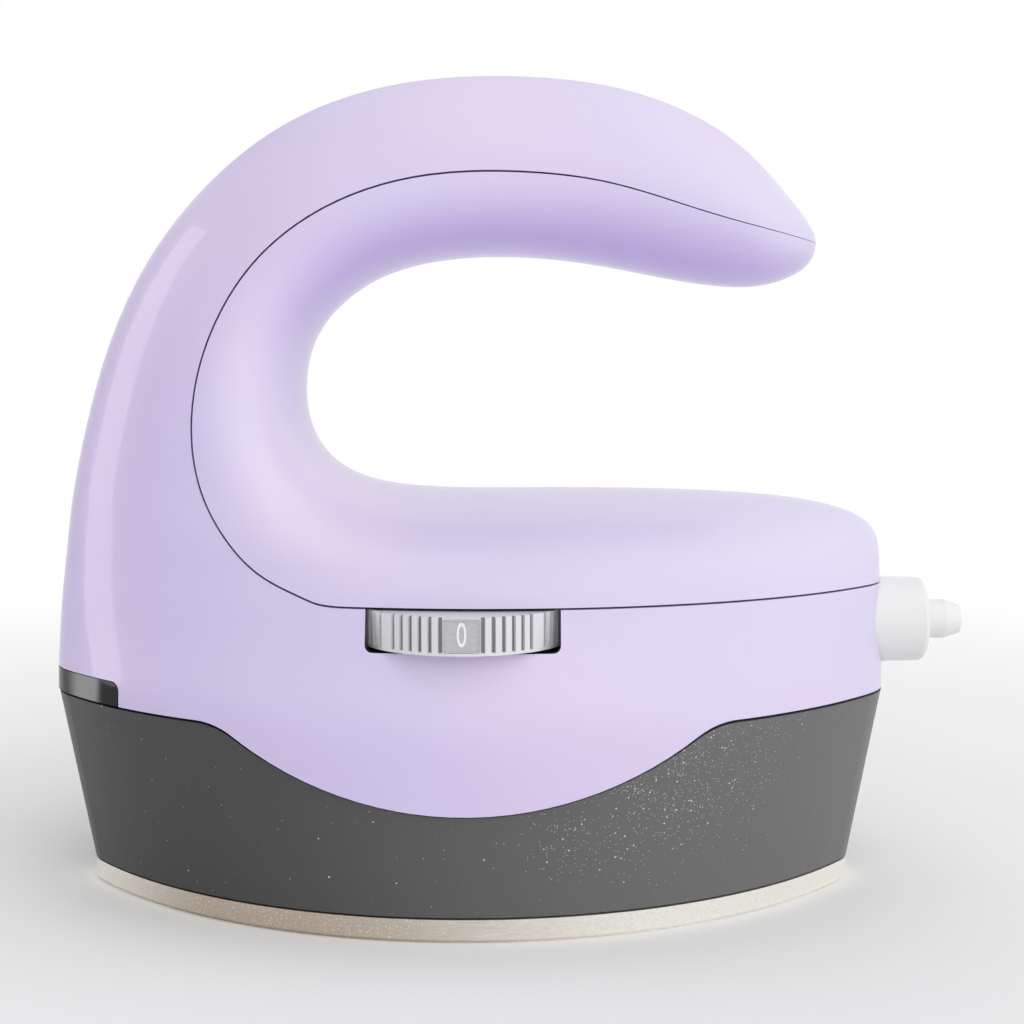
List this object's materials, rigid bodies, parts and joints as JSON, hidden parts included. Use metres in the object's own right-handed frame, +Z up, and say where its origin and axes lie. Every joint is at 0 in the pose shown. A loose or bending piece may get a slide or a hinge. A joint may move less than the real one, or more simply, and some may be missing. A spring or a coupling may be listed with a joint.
{
  "type": "mini handheld heat press",
  "caption": "Small handheld craft heat press: a C-shaped open handle over a lens-shaped heated sole, with a side dial, a front indicator window and a swivelling cord outlet.",
  "frame": {"origin": "centre of the sole's lower face", "axes": "+X to the rear, where the cord leaves; -X to the pointed front with the indicator window; -Y the side with the dial; +Z up out of the sole"},
  "size_m": [0.125, 0.0675, 0.1101],
  "materials": {
    "body": "glossy moulded lavender plastic",
    "skirt": "satin grey heat-resistant plastic",
    "sole": "champagne anodised, satin",
    "white": "glossy white plastic",
    "dial": "satin silver-grey plastic",
    "lens": "smoked translucent window",
    "clear": "clear moulded light guide",
    "steel": "zinc-plated steel",
    "element": "dark oxidised sheath",
    "ceramic": "cream ceramic",
    "shield": "plain rolled sheet",
    "mat": "woven glass-fibre mat",
    "board": "green solder mask",
    "black": "black moulded",
    "yellow": "yellow moulded case",
    "can": "sleeved can",
    "green": "green terminal block",
    "led": "tinted LED lens",
    "lead": "insulated wire"
  },
  "bodies": {
    "housing": {"heat_plate": "sole", "heating_element": "element", "terminal_insulators": "ceramic", "terminal_pins": "steel", "element_straps": "steel", "strap_screws": "steel", "thermal_fuse": "can", "thermistor": "ceramic", "insulation_blanket": "mat", "heat_shield": "shield", "plate_screws": "steel", "base_skirt": "skirt", "housing_screws": "steel", "cover_screws": "steel", "outer_shell": "body", "inner_cover": "body", "indicator_lens": "lens", "light_guide": "clear", "indicator_board": "board", "indicator_leds": "led", "control_board": "board", "board_screws": "steel", "rotary_switch": "black", "triac": "black", "film_capacitor": "yellow", "smoothing_capacitor": "can", "control_chip": "black", "terminal_block": "green", "swivel_collar": "white", "nose_bush": "black", "collar_nut": "black", "mains_leads": "lead", "element_leads": "lead"},
    "dial": {"dial_wheel": "dial", "dial_spindle": "steel"},
    "cord_swivel": {"cord_nose": "white"}
  },
  "joints": [
    {"name": "dial_turn", "type": "hinge", "parent": "housing", "child": "dial", "pos_m": [-0.00025, -0.0212, 0.0391], "axis": [0, 0, 1], "range_deg": [0, 270]},
    {"name": "cord_turn", "type": "hinge", "parent": "housing", "child": "cord_swivel", "pos_m": [0.059, 0, 0.0361], "axis": [1, 0, 0], "continuous": true}
  ]
}
